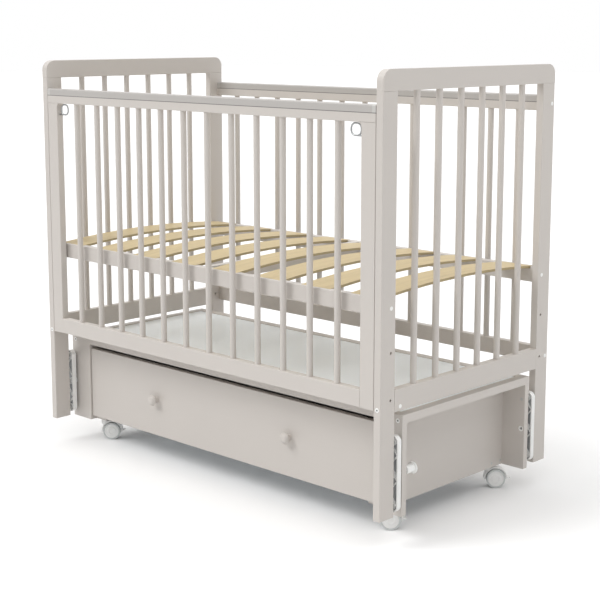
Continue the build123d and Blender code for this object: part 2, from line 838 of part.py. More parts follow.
def fixed_runner():
    open_x = drawer_side_x + drawer_runner_clearance
    return channel(side_panel_in_x, open_x, drawer_runner_height, drawer_runner_wall)


def sliding_runner():
    height = drawer_runner_height - 2 * (drawer_runner_wall + drawer_runner_clearance)
    open_x = side_panel_in_x - drawer_runner_wall - drawer_runner_clearance
    return channel(drawer_side_x, open_x, height, drawer_runner_wall)


def drawer_knob(x):
    """A turned knob on the drawer's face."""
    neck = drawer_knob_neck_diameter / 2
    rim = (drawer_knob_diameter / 2, drawer_knob_widest)
    crown = (drawer_knob_crown_diameter / 2, drawer_knob_length - drawer_knob_crown_drop)
    flat = (drawer_knob_flat_diameter / 2, drawer_knob_length)
    stem = Polyline(flat, (0, drawer_knob_length), (0, 0), (neck, 0), (neck, drawer_knob_neck_length), rim)
    outline = Wire([*stem.edges(), ThreePointArc(rim, crown, flat)])
    turned = revolve(Plane.XZ * make_face(outline), Axis.Z)
    return Pos(x, -drawer_face_y, drawer_knob_z) * Rotation(90, 0, 0) * turned


# Casters, built at the swivel axis with the wheel trailing along +X


def wheel():
    """One wheel of a pair, with a tread and a shallow dished outer face."""
    tread = wheel_diameter / 2
    disc = wheel_disc_diameter / 2
    hub = wheel_hub_diameter / 2
    bore = axle_diameter / 2
    outer = wheel_spacing / 2 + wheel_width / 2
    inner = outer - wheel_width
    sunk = outer - wheel_dish
    back = ((bore, sunk), (bore, inner), (tread - edge_radius, inner), (tread, inner + edge_radius))
    face = ((tread, outer - 2 * edge_radius), (disc, sunk), (disc - edge_radius, outer), (hub, outer))
    profile = Polyline(*back, *face, (hub - wheel_hub_bevel, sunk), (bore, sunk))
    turned = revolve(Plane.XZ * make_face(profile), Axis.Z)
    return Pos(caster_trail, 0, tread) * Rotation(-90, 0, 0) * turned


def axle():
    half = wheel_spacing / 2 + wheel_width / 2 - wheel_dish
    start = (caster_trail, -half, wheel_diameter / 2)
    return rod(start, "Y", axle_diameter / 2 - running_clearance / 2, 2 * half)


def hood():
    """The caster's body: a half round hood, its web between the wheels, the boss and the brake's ears."""
    axle_z = wheel_diameter / 2
    start = (caster_trail, -hood_half_width, axle_z)
    drum = rod(start, "Y", hood_radius, 2 * hood_half_width)
    reach = hood_radius + cut_margin
    keep_x = (caster_trail - reach, caster_trail + reach)
    keep = block(keep_x, (-reach, reach), (axle_z - hood_skirt, axle_z + reach))
    boss_z = caster_mount_z - caster_boss_drop
    body = (drum & keep) + rod((0, 0, boss_z), "Z", caster_boss_diameter / 2, caster_boss_drop)
    clear = hood_radius - hood_wall
    for y in (hood_web / 2, -hood_web / 2 - wheel_spacing):
        body -= rod((caster_trail, y, axle_z), "Y", clear, wheel_spacing)
    body -= rod((caster_trail, -hood_web, axle_z), "Y", axle_diameter / 2 + running_clearance, 2 * hood_web)
    body -= rod((0, 0, caster_mount_z), "Z", caster_stem_diameter / 2, -caster_boss_drop / 2)
    notch_x = (caster_trail + clear - hood_wall, caster_trail + reach)
    notch_y = brake_tab_width / 2 + brake_gap
    body -= block(notch_x, (-notch_y, notch_y), (axle_z - reach, axle_z + brake_hub_diameter / 2 + hood_wall))
    pin_y = hood_half_width - edge_radius
    return body + rod((brake_x(), -pin_y, brake_z()), "Y", brake_pin_diameter / 2, 2 * pin_y)


def brake_x():
    return caster_trail + hood_radius - hood_wall / 2


def brake_z():
    return wheel_diameter / 2 + hood_wall / 2


def brake_lever():
    """The foot tab and its hub on a pin between the hood's ears."""
    half = brake_tab_width / 2
    hub = rod((brake_x(), -half, brake_z()), "Y", brake_hub_diameter / 2, brake_tab_width)
    low = brake_z() - brake_tab_thickness / 2
    tab = block((brake_x(), brake_x() + brake_tab_length), (-half, half), (low, low + brake_tab_thickness))
    bore = brake_pin_diameter / 2 + running_clearance
    return hub + tab - rod((brake_x(), -half, brake_z()), "Y", bore, brake_tab_width)


def caster_stem():
    reach = caster_stem_length + caster_boss_drop / 2
    start = (0, 0, caster_mount_z - caster_boss_drop / 2)
    return rod(start, "Z", caster_stem_diameter / 2, reach)


caster_places = {
    "front_left": (-caster_x, -caster_y), "front_right": (caster_x, -caster_y),
    "rear_left": (-caster_x, caster_y), "rear_right": (caster_x, caster_y)}


def save_casters():
    wheels = both_sides(wheel()) + [axle()]
    body = [hood(), caster_stem()]
    lever = [brake_lever()]
    for corner, (x, y) in caster_places.items():
        spot = Pos(x, y, 0) * Rotation(0, 0, caster_heading)
        save(f"caster_body_{corner}", [spot * piece for piece in body])
        save(f"caster_wheels_{corner}", [spot * piece for piece in wheels])
        save(f"caster_brake_{corner}", [spot * piece for piece in lever])


def save_crib():
    save("end_top_rails", both_ends(end_top_rail()))
    save("front_posts", both_ends(post(front=True)))
    save("rear_posts", both_ends(post(front=False)))
    save("end_bottom_rails", both_ends(end_bottom_rail()))
    save("end_spindles", [copy for spindle in end_spindles() for copy in both_ends(spindle)])
    top, bottom, spindles, cover = rear_side()
    save("rear_top_rail", [top])
    save("rear_bottom_rail", [bottom])
    save("rear_spindles", spindles)
    save("rear_rail_cover", cover)
    save("front_tie_bar", [tie_bar()])
    save("bed_frame", both_sides(bed_rail()) + [cross_rail()])
    save("bed_slats", [slat(x) for x in slat_places()])
    bolts, nuts, caps = frame_bolts()
    screw, cap = rail_screw()
    save("frame_bolts", bolts + nuts + four_corners(screw))
    save("bolt_caps", caps + four_corners(cap))
    save("rail_dowels", four_corners(dowel()))
    save("lower_pivot_pins", four_corners(lower_pivot_pin()))


def save_drop_side():
    top, bottom, spindles, cover = drop_side()
    save("drop_top_rail", [top])
    save("drop_bottom_rail", [bottom])
    save("drop_stiles", both_ends(stile()))
    save("drop_spindles", spindles)
    save("drop_rail_cover", cover)
    save("drop_guide_pins", both_ends(guide_pin()))
    for side, wire in zip(("right", "left"), both_ends(latch_wire())):
        save(f"latch_wire_{side}", [wire])
    for side, spring in zip(("right", "left"), both_ends(latch_spring())):
        save(f"latch_spring_{side}", [spring])


def save_base():
    save("corner_boards", four_corners(corner_board()))
    save("base_side_panels", both_ends(side_panel()))
    save("base_rear_panel", [rear_panel()])
    save("base_long_rails", both_sides(long_rail()))
    save("base_top_frame", top_frame())
    save("dust_panel", [dust_panel()])
    save("caster_blocks", four_corners(caster_block()))
    save("upper_pivot_pins", four_corners(upper_pivot_pin()))
    save("lock_bushes", four_corners(lock_bush()))
    save("base_screws", four_corners(base_screw()))
    save("fixed_runners", both_ends(fixed_runner()))
    save("lock_knob", [lock_knob()])
    corners = ("rear_right", "front_right", "rear_left", "front_left")
    for corner, link in zip(corners, four_corners(pendulum_link())):
        save(f"pendulum_link_{corner}", [link])


def save_drawer():
    save("drawer_front", [drawer_front()])
    save("drawer_sides", both_ends(drawer_side()))
    save("drawer_back", [drawer_back()])
    save("drawer_floor", [drawer_floor()])
    save("sliding_runners", both_ends(sliding_runner()))
    save("drawer_knobs", [drawer_knob(x) for x in row(2, drawer_knob_spacing / 2)])


os.makedirs("parts", exist_ok=True)
save_base()
save_drawer()
save_casters()
save_crib()
save_drop_side()
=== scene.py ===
"""Dresses the pendulum crib: its finishes, turned wheels, cap rings, screws and studio."""

import json
import math

import bmesh
import bpy
from bpy.props import FloatProperty, FloatVectorProperty, IntProperty, PointerProperty
from mathutils import Matrix, Vector


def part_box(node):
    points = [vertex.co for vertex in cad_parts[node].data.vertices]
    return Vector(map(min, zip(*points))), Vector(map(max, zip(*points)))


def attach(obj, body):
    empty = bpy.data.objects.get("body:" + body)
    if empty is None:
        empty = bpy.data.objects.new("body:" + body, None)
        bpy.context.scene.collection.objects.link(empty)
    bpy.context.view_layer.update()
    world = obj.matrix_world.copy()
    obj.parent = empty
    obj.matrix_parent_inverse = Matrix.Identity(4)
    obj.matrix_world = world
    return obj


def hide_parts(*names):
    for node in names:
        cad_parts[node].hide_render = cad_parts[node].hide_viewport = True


bl_info = {
    "name": "Pendulum Crib",
    "version": (1, 0, 0),
    "blender": (4, 5, 0),
    "location": "View3D > Sidebar > Crib",
    "description": "Finishes a slatted crib that swings on links from a drawer base",
    "category": "Object",
}

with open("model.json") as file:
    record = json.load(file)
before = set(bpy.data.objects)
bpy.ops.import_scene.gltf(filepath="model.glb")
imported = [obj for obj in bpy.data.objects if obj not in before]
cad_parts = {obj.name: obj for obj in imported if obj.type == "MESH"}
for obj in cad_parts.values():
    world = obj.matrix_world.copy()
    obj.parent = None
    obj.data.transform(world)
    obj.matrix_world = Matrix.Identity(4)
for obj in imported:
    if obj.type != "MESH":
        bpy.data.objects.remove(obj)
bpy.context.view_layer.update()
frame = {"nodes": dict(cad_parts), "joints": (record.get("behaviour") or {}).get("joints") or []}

# The photograph's camera, solved from the crib's own edges.
PHOTO_SIDE = 600
CAMERA_PLACE = (2.5683, -2.6124, 1.1816)
CAMERA_AZIMUTH = 43.90
CAMERA_PITCH = 9.22
CAMERA_FOCAL_PIXELS = 1369.8
CAMERA_SHIFT = -0.08
SENSOR_WIDTH = 36.0

MM = 0.001
CORNERS = ("front_left", "front_right", "rear_left", "rear_right")
WELD_DISTANCE = 0.001 * MM
SHARP_ANGLE = math.radians(35)


def linear(colour):
    """The linear RGB of an sRGB hex colour."""
    channels = [int(colour[i:i + 2], 16) / 255 for i in (1, 3, 5)]
    return [c / 12.92 if c <= 0.04045 else ((c + 0.055) / 1.055) ** 2.4 for c in channels]


def colour_property(name, description, colour):
    return FloatVectorProperty(name=name, description=description, subtype="COLOR", size=3,
                               min=0.0, max=1.0, default=linear(colour))


class CribFinishes(bpy.types.PropertyGroup):
    """The colours of the crib's surfaces."""

    lacquer: colour_property("Lacquer", "Warm grey lacquer on the beech", "#cdc7c1")
    slat: colour_property("Slat", "Clear bent birch of the slats", "#cbb78c")
    cover: colour_property("Rail cover", "Grey vinyl over the top rails", "#b8b4b0")
    # Painted shade, standing for the shadow in the joint under a rail cover.
    seam: colour_property("Seam", "Shadowed joint between a cover and its rail", "#777471")
    cover_end: colour_property("Cover end", "Clear end pieces of the rail covers", "#c4c2be")
    plastic: colour_property("White plastic", "Links, lock screw and casters", "#f8f8f6")
    cap: colour_property("Caps", "Plastic caps over the bolts", "#f3f1ee")
    board: colour_property("Coated board", "Dust panel and drawer floor", "#f5fafd")
    # Painted shade: the web is the same white plastic; this colour stands for the shadow in the sunk web.
    web: colour_property("Link web", "Sunk web of the links, which catches less light", "#a3a6a8")
    runner: colour_property("Runner", "Powder coat of the drawer runners", "#ecece9")
    zinc: colour_property("Zinc", "Zinc plated pins and bolts", "#c9cac8")
    wire: colour_property("Wire", "Bright steel wire of the latches", "#a5a7a8")
    tread: colour_property("Tread", "Soft grey tread of the wheels", "#d6d9d8")
    # Painted shade: this near black stands for the unlit depth of drive recesses, bores and pivot seats.
    recess: colour_property("Recess", "Dark bottom of a screw's drive recess", "#3a3836")


class CribGrain(bpy.types.PropertyGroup):
    """Real sizes of the patterns in the finishes."""

    pore_width: FloatProperty(name="Pore width", description="Width of a pore streak under the lacquer, "
                              "drawn wider than real so that it shows",
                              default=2.6 * MM, min=0.0, unit="LENGTH")
    pore_length: FloatProperty(name="Pore length", description="Length of a pore streak",
                               default=70 * MM, min=0.0, unit="LENGTH")
    tone_size: FloatProperty(name="Tone patch", description="Size of the slow changes of tone in the lacquer",
                             default=260 * MM, min=0.0, unit="LENGTH")
    ring_width: FloatProperty(name="Growth ring", description="Spacing of the growth rings on a slat's face",
                              default=11 * MM, min=0.0, unit="LENGTH")
    ring_length: FloatProperty(name="Ring length", description="How far a growth ring runs along a slat",
                               default=625 * MM, min=0.0, unit="LENGTH")
    fibre_length: FloatProperty(name="Fibre length", description="Length of a fibre streak along a slat",
                                default=111.1 * MM, min=0.0, unit="LENGTH")
    ply_thickness: FloatProperty(name="Ply", description="Thickness of one ply of a slat",
                                 default=1.2 * MM, min=0.0, unit="LENGTH")
    moulding_grit: FloatProperty(name="Moulding grit", description="Texture of the moulded plastic",
                                 default=0.9 * MM, min=0.0, unit="LENGTH")
    draw_line: FloatProperty(name="Draw line", description="Width of the fine marks on drawn metal and vinyl",
                             default=0.8 * MM, min=0.0, unit="LENGTH")
    draw_length: FloatProperty(name="Draw length", description="Length of the fine lines along the vinyl",
                               default=500 * MM, min=0.0, unit="LENGTH")
    peel_size: FloatProperty(name="Orange peel", description="Size of the waves in the boards' white coat",
                             default=10.4 * MM, min=0.0, unit="LENGTH")


class CribTrim(bpy.types.PropertyGroup):
    """Sizes of the wheels, cap rings and screws."""

    tyre_inner: FloatProperty(name="Tyre inner radius", description="Where the white disc meets the tread",
                              default=20.6 * MM, min=0.0, unit="LENGTH")
    tyre_round: FloatProperty(name="Tyre shoulder", description="Rounding of the tread's shoulders",
                              default=2.2 * MM, min=0.0, unit="LENGTH")
    ring_radius: FloatProperty(name="Cap ring", description="Outer radius of the ring round a screw cap",
                               default=5.6 * MM, min=0.0, unit="LENGTH")
    ring_proud: FloatProperty(name="Ring height", description="How far a cap ring stands off the wood",
                              default=0.9 * MM, min=0.0, unit="LENGTH")
    dome_radius: FloatProperty(name="Bolt cap", description="Radius of the domed cap over a frame bolt",
                               default=5.0 * MM, min=0.0, unit="LENGTH")
    drive_radius: FloatProperty(name="Drive", description="Radius of a hexagon drive recess",
                                default=2.3 * MM, min=0.0, unit="LENGTH")
    screw_radius: FloatProperty(name="Screw head", description="Radius of the panel screws' heads",
                                default=3.6 * MM, min=0.0, unit="LENGTH")
    turns: IntProperty(name="Segments", description="Steps in a full turn of a round piece",
                       default=64, min=12)


class CribStudio(bpy.types.PropertyGroup):
    """The floor and the lamps."""

    floor_size: FloatProperty(name="Floor", description="Side of the floor",
                              default=60.0, min=1.0, unit="LENGTH")
    floor_white: FloatProperty(name="Floor white", description="How far above plain white the camera sees "
                               "the lit paper, which leaves only the deep part of a shadow",
                               default=1.01, min=0.0)
    floor_bounce: colour_property("Floor bounce", "Tone of the light that the floor throws back", "#f2f2f2")
    sky: FloatProperty(name="Sky", description="Strength of the even light all round",
                       default=0.2, min=0.0)
    top: FloatProperty(name="Top", description="Strength of the wide light from above",
                       default=1.98, min=0.0)
    top_spread: FloatProperty(name="Top spread", description="Angle that the light from above comes from",
                              default=math.radians(100), min=0.0, max=math.pi, unit="ROTATION")
    key: FloatProperty(name="Key", description="Strength of the soft light from the front left",
                       default=1.08, min=0.0)
    key_spread: FloatProperty(name="Key spread", description="Angle that the front left light comes from",
                              default=math.radians(28), min=0.0, max=math.pi, unit="ROTATION")
    fill: FloatProperty(name="Fill", description="Strength of the wide light from the rear right",
                        default=0.76, min=0.0)
    fill_spread: FloatProperty(name="Fill spread", description="Angle that the rear right light comes from",
                               default=math.radians(120), min=0.0, max=math.pi, unit="ROTATION")


def link(tree, node, links):
    """Feeds a node's inputs, by name, from other nodes' outputs."""
    for name, source in links.items():
        tree.links.new(source, node.inputs[name])


def add(tree, kind, settings=None, links=None):
    """Adds a node: settings are its properties or unlinked inputs, links its inputs' sources."""
    made = tree.nodes.new(kind)
    for name, value in (settings or {}).items():
        if isinstance(name, str) and hasattr(made, name):
            setattr(made, name, value)
        else:
            made.inputs[name].default_value = value
    link(tree, made, links or {})
    return made


def new_material(name, **shader):
    """A material with one Principled shader, and its tree and Object coordinates."""
    material = bpy.data.materials.new(name)
    material.use_nodes = True
    tree = material.node_tree
    principled = tree.nodes["Principled BSDF"]
    for socket, value in shader.items():
        principled.inputs[socket.replace("_", " ")].default_value = value
    place = add(tree, "ShaderNodeTexCoord")
    return material, tree, principled, place.outputs["Object"]


def rgba(colour, shade=1.0):
    return [*[c * shade for c in colour], 1.0]


def set_shades(ramp, colour, low, high):
    """Sets the two stops of a colour ramp, each a position and a shade of one colour."""
    for stop, (position, shade) in zip(ramp.color_ramp.elements, (low, high)):
        stop.position = position
        stop.color = rgba(colour, shade)


def pattern(tree, place, cell, settings):
    """Adds noise whose cells have a real size along X, Y and Z, and gives its value."""
    scaled = add(tree, "ShaderNodeMapping", {"Scale": [1 / size for size in cell]}, {"Vector": place})
    noise = add(tree, "ShaderNodeTexNoise", {"Scale": 1.0, **settings},
                {"Vector": scaled.outputs["Vector"]})
    return noise.outputs["Fac"]


def lacquered_beech(name, axis, finishes, grain):
    """Beech under sprayed satin lacquer: an even warm grey, through which the pores just show
    as fine streaks along the board."""
    material, tree, shader, place = new_material(name, IOR=1.5, Roughness=0.42)
    pore_share = 0.55
    cell = [grain.pore_length if letter == axis else grain.pore_width for letter in "XYZ"]
    pores = pattern(tree, place, cell, {"Detail": 3.0, "Roughness": 0.55})
    patches = pattern(tree, place, [grain.tone_size] * 3, {"Detail": 2.0})
    both = add(tree, "ShaderNodeMath", {"operation": "MULTIPLY_ADD", 1: pore_share}, {0: pores, 2: patches})
    tone = add(tree, "ShaderNodeValToRGB", {}, {"Fac": both.outputs["Value"]})
    set_shades(tone, finishes.lacquer, (0.45, 0.985), (1.0, 1.012))
    gloss = add(tree, "ShaderNodeMapRange", {"To Min": 0.36, "To Max": 0.5}, {"Value": pores})
    relief = add(tree, "ShaderNodeBump", {"Strength": 0.05, "Distance": 0.3 * MM}, {"Height": pores})
    link(tree, shader, {"Base Color": tone.outputs["Color"], "Roughness": gloss.outputs["Result"],
                        "Normal": relief.outputs["Normal"]})
    return material


def bent_birch(name, finishes, grain, bow, half_span):
    """Hot pressed birch plywood, left clear: growth rings drawn out along the slat on its faces,
    and pale and brown plies in turn on its edges."""
    material, tree, shader, place = new_material(name, IOR=1.5, Roughness=0.5)
    fibre_share, edge_slope = 0.5, 0.7
    rings = pattern(tree, place, (grain.ring_width, grain.ring_length, grain.ring_width),
                    {"Scale": 0.9, "Detail": 4.0, "Roughness": 0.6, "Distortion": 0.8})
    fibres = pattern(tree, place, (grain.pore_width, grain.fibre_length, grain.pore_width), {"Detail": 3.0})
    mixed = add(tree, "ShaderNodeMath", {"operation": "MULTIPLY_ADD", 1: fibre_share}, {0: fibres, 2: rings})
    face = add(tree, "ShaderNodeValToRGB", {}, {"Fac": mixed.outputs["Value"]})
    set_shades(face, finishes.slat, (0.5, 0.86), (1.0, 1.05))
    # The plies follow the bow, so their depth is measured from the slat's own curve.
    axes = add(tree, "ShaderNodeSeparateXYZ", {}, {"Vector": place})
    square = add(tree, "ShaderNodeMath", {"operation": "MULTIPLY"},
                 {0: axes.outputs["Y"], 1: axes.outputs["Y"]})
    depth = add(tree, "ShaderNodeMath", {"operation": "MULTIPLY_ADD", 1: bow / half_span ** 2},
                {0: square.outputs["Value"], 2: axes.outputs["Z"]})
    layer = add(tree, "ShaderNodeMath", {"operation": "PINGPONG", 1: grain.ply_thickness},
                {0: depth.outputs["Value"]})
    share = add(tree, "ShaderNodeMath", {"operation": "DIVIDE", 1: grain.ply_thickness},
                {0: layer.outputs["Value"]})
    plies = add(tree, "ShaderNodeValToRGB", {}, {"Fac": share.outputs["Value"]})
    set_shades(plies, finishes.slat, (0.35, 0.55), (0.65, 0.9))
    surface = add(tree, "ShaderNodeNewGeometry")
    normal = add(tree, "ShaderNodeSeparateXYZ", {}, {"Vector": surface.outputs["Normal"]})
    side = add(tree, "ShaderNodeMath", {"operation": "ABSOLUTE"}, {0: normal.outputs["X"]})
    edge = add(tree, "ShaderNodeMath", {"operation": "GREATER_THAN", 1: edge_slope},
               {0: side.outputs["Value"]})
    colour = add(tree, "ShaderNodeMix", {"data_type": "RGBA"},
                 {"Factor": edge.outputs["Value"], "A": face.outputs["Color"], "B": plies.outputs["Color"]})
    relief = add(tree, "ShaderNodeBump", {"Strength": 0.2, "Distance": 0.3 * MM}, {"Height": fibres})
    link(tree, shader, {"Base Color": colour.outputs["Result"], "Normal": relief.outputs["Normal"]})
    return material


def extruded_vinyl(name, finishes, grain, joint_x, seam_z):
    """Soft vinyl profile: satin and a little waxy, with fine lines along it from the die, paler
    clear pieces past the joint at each end, and painted shade in a thin dark band along its lower edge."""
    material, tree, shader, place = new_material(name, IOR=1.53, Roughness=0.34)
    drawn = pattern(tree, place, (grain.draw_length, grain.draw_line, grain.draw_line), {"Detail": 2.0})
    body = add(tree, "ShaderNodeValToRGB", {}, {"Fac": drawn})
    set_shades(body, finishes.cover, (0.0, 0.96), (1.0, 1.03))
    axes = add(tree, "ShaderNodeSeparateXYZ", {}, {"Vector": place})
    reach = add(tree, "ShaderNodeMath", {"operation": "ABSOLUTE"}, {0: axes.outputs["X"]})
    beyond = add(tree, "ShaderNodeMath", {"operation": "GREATER_THAN", 1: joint_x},
                 {0: reach.outputs["Value"]})
    ends = add(tree, "ShaderNodeMix", {"data_type": "RGBA", "B": rgba(finishes.cover_end)},
               {"Factor": beyond.outputs["Value"], "A": body.outputs["Color"]})
    # Painted shade: a thin band along the cover's lower edge takes the darker colour, for the shadow in its
    # joint with the rail.
    under = add(tree, "ShaderNodeMath", {"operation": "LESS_THAN", 1: seam_z}, {0: axes.outputs["Z"]})
    colour = add(tree, "ShaderNodeMix", {"data_type": "RGBA", "B": rgba(finishes.seam)},
                 {"Factor": under.outputs["Value"], "A": ends.outputs["Result"]})
    relief = add(tree, "ShaderNodeBump", {"Strength": 0.06, "Distance": 0.2 * MM}, {"Height": drawn})
    link(tree, shader, {"Base Color": colour.outputs["Result"], "Normal": relief.outputs["Normal"]})
    return material


def mould_grit(tree, shader, place, colour, grain):
    """Lays the fine grit of a mould on a shader's surface, and gives its value and its tone."""
    grit = pattern(tree, place, [grain.moulding_grit] * 3, {"Detail": 2.0})
    tone = add(tree, "ShaderNodeValToRGB", {}, {"Fac": grit})
    set_shades(tone, colour, (0.0, 0.95), (1.0, 1.02))
    relief = add(tree, "ShaderNodeBump", {"Strength": 0.05, "Distance": 0.1 * MM}, {"Height": grit})
    link(tree, shader, {"Normal": relief.outputs["Normal"]})
    return grit, tone.outputs["Color"]


def moulded_plastic(name, colour, grain, roughness):
    """Injection moulded plastic: an even colour and a soft sheen, broken by the fine grit of the mould."""
    material, tree, shader, place = new_material(name, IOR=1.54, Roughness=roughness)
    grit, tone = mould_grit(tree, shader, place, colour, grain)
    gloss = add(tree, "ShaderNodeMapRange", {"To Min": roughness - 0.05, "To Max": roughness + 0.08},
                {"Value": grit})
    link(tree, shader, {"Base Color": tone, "Roughness": gloss.outputs["Result"]})
    return material


def ribbed_moulding(name, colour, web_shade_colour, grain, roughness, web_y, web_half):
    """Moulded plastic of the links: white on the rim, ribs and bosses, with painted shade on the thin web
    sunk between them, which stands for the shadow there."""
    material, tree, shader, place = new_material(name, IOR=1.54, Roughness=roughness)
    tone = mould_grit(tree, shader, place, colour, grain)[1]
    # Painted shade: the flat faces of the sunk web, found by their place across Y and their normal, take the
    # darker web colour.
    axes = add(tree, "ShaderNodeSeparateXYZ", {}, {"Vector": place})
    across = add(tree, "ShaderNodeMath", {"operation": "ABSOLUTE"}, {0: axes.outputs["Y"]})
    sunk = add(tree, "ShaderNodeMath", {"operation": "COMPARE", 1: web_y, 2: web_half},
               {0: across.outputs["Value"]})
    surface = add(tree, "ShaderNodeNewGeometry")
    normal = add(tree, "ShaderNodeSeparateXYZ", {}, {"Vector": surface.outputs["True Normal"]})
    flat = add(tree, "ShaderNodeMath", {"operation": "ABSOLUTE"}, {0: normal.outputs["Y"]})
    web = add(tree, "ShaderNodeMath", {"operation": "MULTIPLY", "use_clamp": True},
              {0: sunk.outputs["Value"], 1: flat.outputs["Value"]})
    mixed = add(tree, "ShaderNodeMix", {"data_type": "RGBA", "B": rgba(web_shade_colour)},
                {"Factor": web.outputs["Value"], "A": tone})
    link(tree, shader, {"Base Color": mixed.outputs["Result"]})
    return material


def drawn_steel(name, colour, grain, roughness):
    """Zinc plated or bright drawn steel: metal with fine marks, which spread its highlight."""
    material, tree, shader, place = new_material(name, Metallic=1.0, Roughness=roughness)
    drawn = pattern(tree, place, [grain.draw_line] * 3, {"Detail": 3.0})
    tone = add(tree, "ShaderNodeValToRGB", {}, {"Fac": drawn})
    set_shades(tone, colour, (0.0, 0.82), (1.0, 1.05))
    gloss = add(tree, "ShaderNodeMapRange", {"To Min": roughness - 0.08, "To Max": roughness + 0.1},
                {"Value": drawn})
    link(tree, shader, {"Base Color": tone.outputs["Color"], "Roughness": gloss.outputs["Result"]})
    return material


def coated_board(name, colour, grain):
    """Hardboard with a white printed coat: flat, with a faint orange peel."""
    material, tree, shader, place = new_material(name, IOR=1.5, Roughness=0.38)
    peel = pattern(tree, place, [grain.peel_size] * 3, {"Detail": 1.0})
    tone = add(tree, "ShaderNodeValToRGB", {}, {"Fac": peel})
    set_shades(tone, colour, (0.0, 0.98), (1.0, 1.01))
    relief = add(tree, "ShaderNodeBump", {"Strength": 0.08, "Distance": 0.2 * MM}, {"Height": peel})
    link(tree, shader, {"Base Color": tone.outputs["Color"], "Normal": relief.outputs["Normal"]})
    return material


def dress(nodes, material):
    """Gives a material to CAD nodes that show as they are."""
    for name in nodes:
        mesh = frame["nodes"][name].data
        if not mesh.materials:
            mesh.materials.append(material)
        for i in range(len(mesh.materials)):
            mesh.materials[i] = material


def finished(name, bm, material, body, replaces=()):
    """Makes a bmesh into a piece with its place in its mesh, and rides it on a body."""
    bmesh.ops.remove_doubles(bm, verts=bm.verts, dist=WELD_DISTANCE)
    bmesh.ops.recalc_face_normals(bm, faces=bm.faces)
    mesh = bpy.data.meshes.new(name)
    bm.to_mesh(mesh)
    bm.free()
    mesh.shade_smooth()
    mesh.set_sharp_from_angle(angle=SHARP_ANGLE)
    mesh.materials.append(material)
    piece = bpy.data.objects.new(name, mesh)
    bpy.context.scene.collection.objects.link(piece)
    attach(piece, body)
    if replaces:
        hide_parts(*replaces)
    return piece


def turn(bm, profile, steps, place):
    """Spins a profile of (radius, height) points about Z, closed, and puts it at a place."""
    ring = [bm.verts.new((radius, 0, height)) for radius, height in profile]
    edges = [bm.edges.new(pair) for pair in zip(ring, ring[1:])]
    bmesh.ops.spin(bm, geom=ring + edges, cent=(0, 0, 0), axis=(0, 0, 1), angle=math.tau,
                   steps=steps, use_merge=True)
    new_verts = [vert for vert in bm.verts if not vert.tag]
    bmesh.ops.transform(bm, matrix=place, verts=new_verts)
    for vert in new_verts:
        vert.tag = True


def facing(centre, direction):
    """A placement at centre whose Z axis points along a direction."""
    return Matrix.Translation(centre) @ Vector(direction).to_track_quat("Z", "Y").to_matrix().to_4x4()


def arc(centre, radius, start, end, steps):
    """Points of an arc in a profile, by angles in degrees."""
    angles = [math.radians(start + (end - start) * i / steps) for i in range(steps + 1)]
    return [(centre[0] + radius * math.cos(a), centre[1] + radius * math.sin(a)) for a in angles]


def plug_profile(radius, sunk, proud):
    """The profile of a round plug that goes into a face by sunk and stands off it by proud."""
    return [(0, -sunk), (radius, -sunk), (radius, proud), (0, proud)]


def solid_boxes(node):
    """The low and high corners of each separate solid of a CAD node."""
    bm = bmesh.new()
    bm.from_mesh(frame["nodes"][node].data)
    bmesh.ops.remove_doubles(bm, verts=bm.verts, dist=WELD_DISTANCE)
    boxes = []
    for vert in bm.verts:
        vert.tag = False
    for first in bm.verts:
        if first.tag:
            continue
        first.tag = True
        reached = [first]
        for vert in reached:
            for edge in vert.link_edges:
                other = edge.other_vert(vert)
                if not other.tag:
                    other.tag = True
                    reached.append(other)
        axes = list(zip(*[vert.co for vert in reached]))
        boxes.append((Vector([min(axis) for axis in axes]), Vector([max(axis) for axis in axes])))
    bm.free()
    return boxes


def face_of(box, axis, away):
    """The middle of a box's face along an axis, and its direction: away is 1 for the face that
    looks away from the crib's middle, and -1 for the one that looks towards it."""
    low, high = box
    centre, direction = (low + high) / 2, Vector((0, 0, 0))
    direction[axis] = math.copysign(away, centre[axis])
    centre[axis] = high[axis] if direction[axis] > 0 else low[axis]
    return centre, direction


class CRIB_OT_lacquer(bpy.types.Operator):
    """Lacquers the posts, rails, spindles, base and drawer, with the grain along each board."""

    bl_idname = "crib.lacquer"
    bl_label = "Lacquered Beech"

    boards = {
        "X": ("rear_top_rail", "rear_bottom_rail", "drop_top_rail", "drop_bottom_rail", "front_tie_bar",
              "bed_frame", "base_long_rails", "base_rear_panel", "drawer_front", "drawer_back",
              "drawer_knobs"),
        "Y": ("end_top_rails", "end_bottom_rails", "base_side_panels", "base_top_frame", "drawer_sides",
              "caster_blocks"),
        "Z": ("front_posts", "rear_posts", "end_spindles", "rear_spindles", "drop_spindles", "drop_stiles",
              "corner_boards", "rail_dowels"),
    }

    def execute(self, context):
        scene = context.scene
        for axis, nodes in self.boards.items():
            name = f"satin lacquered beech, grain along {axis}"
            dress(nodes, lacquered_beech(name, axis, scene.crib_finishes, scene.crib_grain))
        return {"FINISHED"}


class CRIB_OT_slats(bpy.types.Operator):
    """Finishes the bowed slats in clear birch plywood."""

    bl_idname = "crib.slats"
    bl_label = "Birch Slats"

    def execute(self, context):
        scene = context.scene
        slat_high, rail_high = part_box("bed_slats")[1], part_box("bed_frame")[1]
        bow = slat_high.z - rail_high.z
        material = bent_birch("bent birch plywood", scene.crib_finishes, scene.crib_grain, bow, slat_high.y)
        dress(["bed_slats"], material)
        return {"FINISHED"}


class CRIB_OT_rail_covers(bpy.types.Operator):
    """Finishes the vinyl covers of both top rails."""

    bl_idname = "crib.rail_covers"
    bl_label = "Rail Covers"

    end_length = 12 * MM
    # Height of the band of painted shade along the cover's lower edge.
    seam_height = 1.8 * MM

    def execute(self, context):
        scene = context.scene
        low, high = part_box("rear_rail_cover")
        material = extruded_vinyl("extruded soft vinyl", scene.crib_finishes, scene.crib_grain,
                                  high.x - self.end_length, low.z + self.seam_height)
        dress(["rear_rail_cover", "drop_rail_cover"], material)
        return {"FINISHED"}


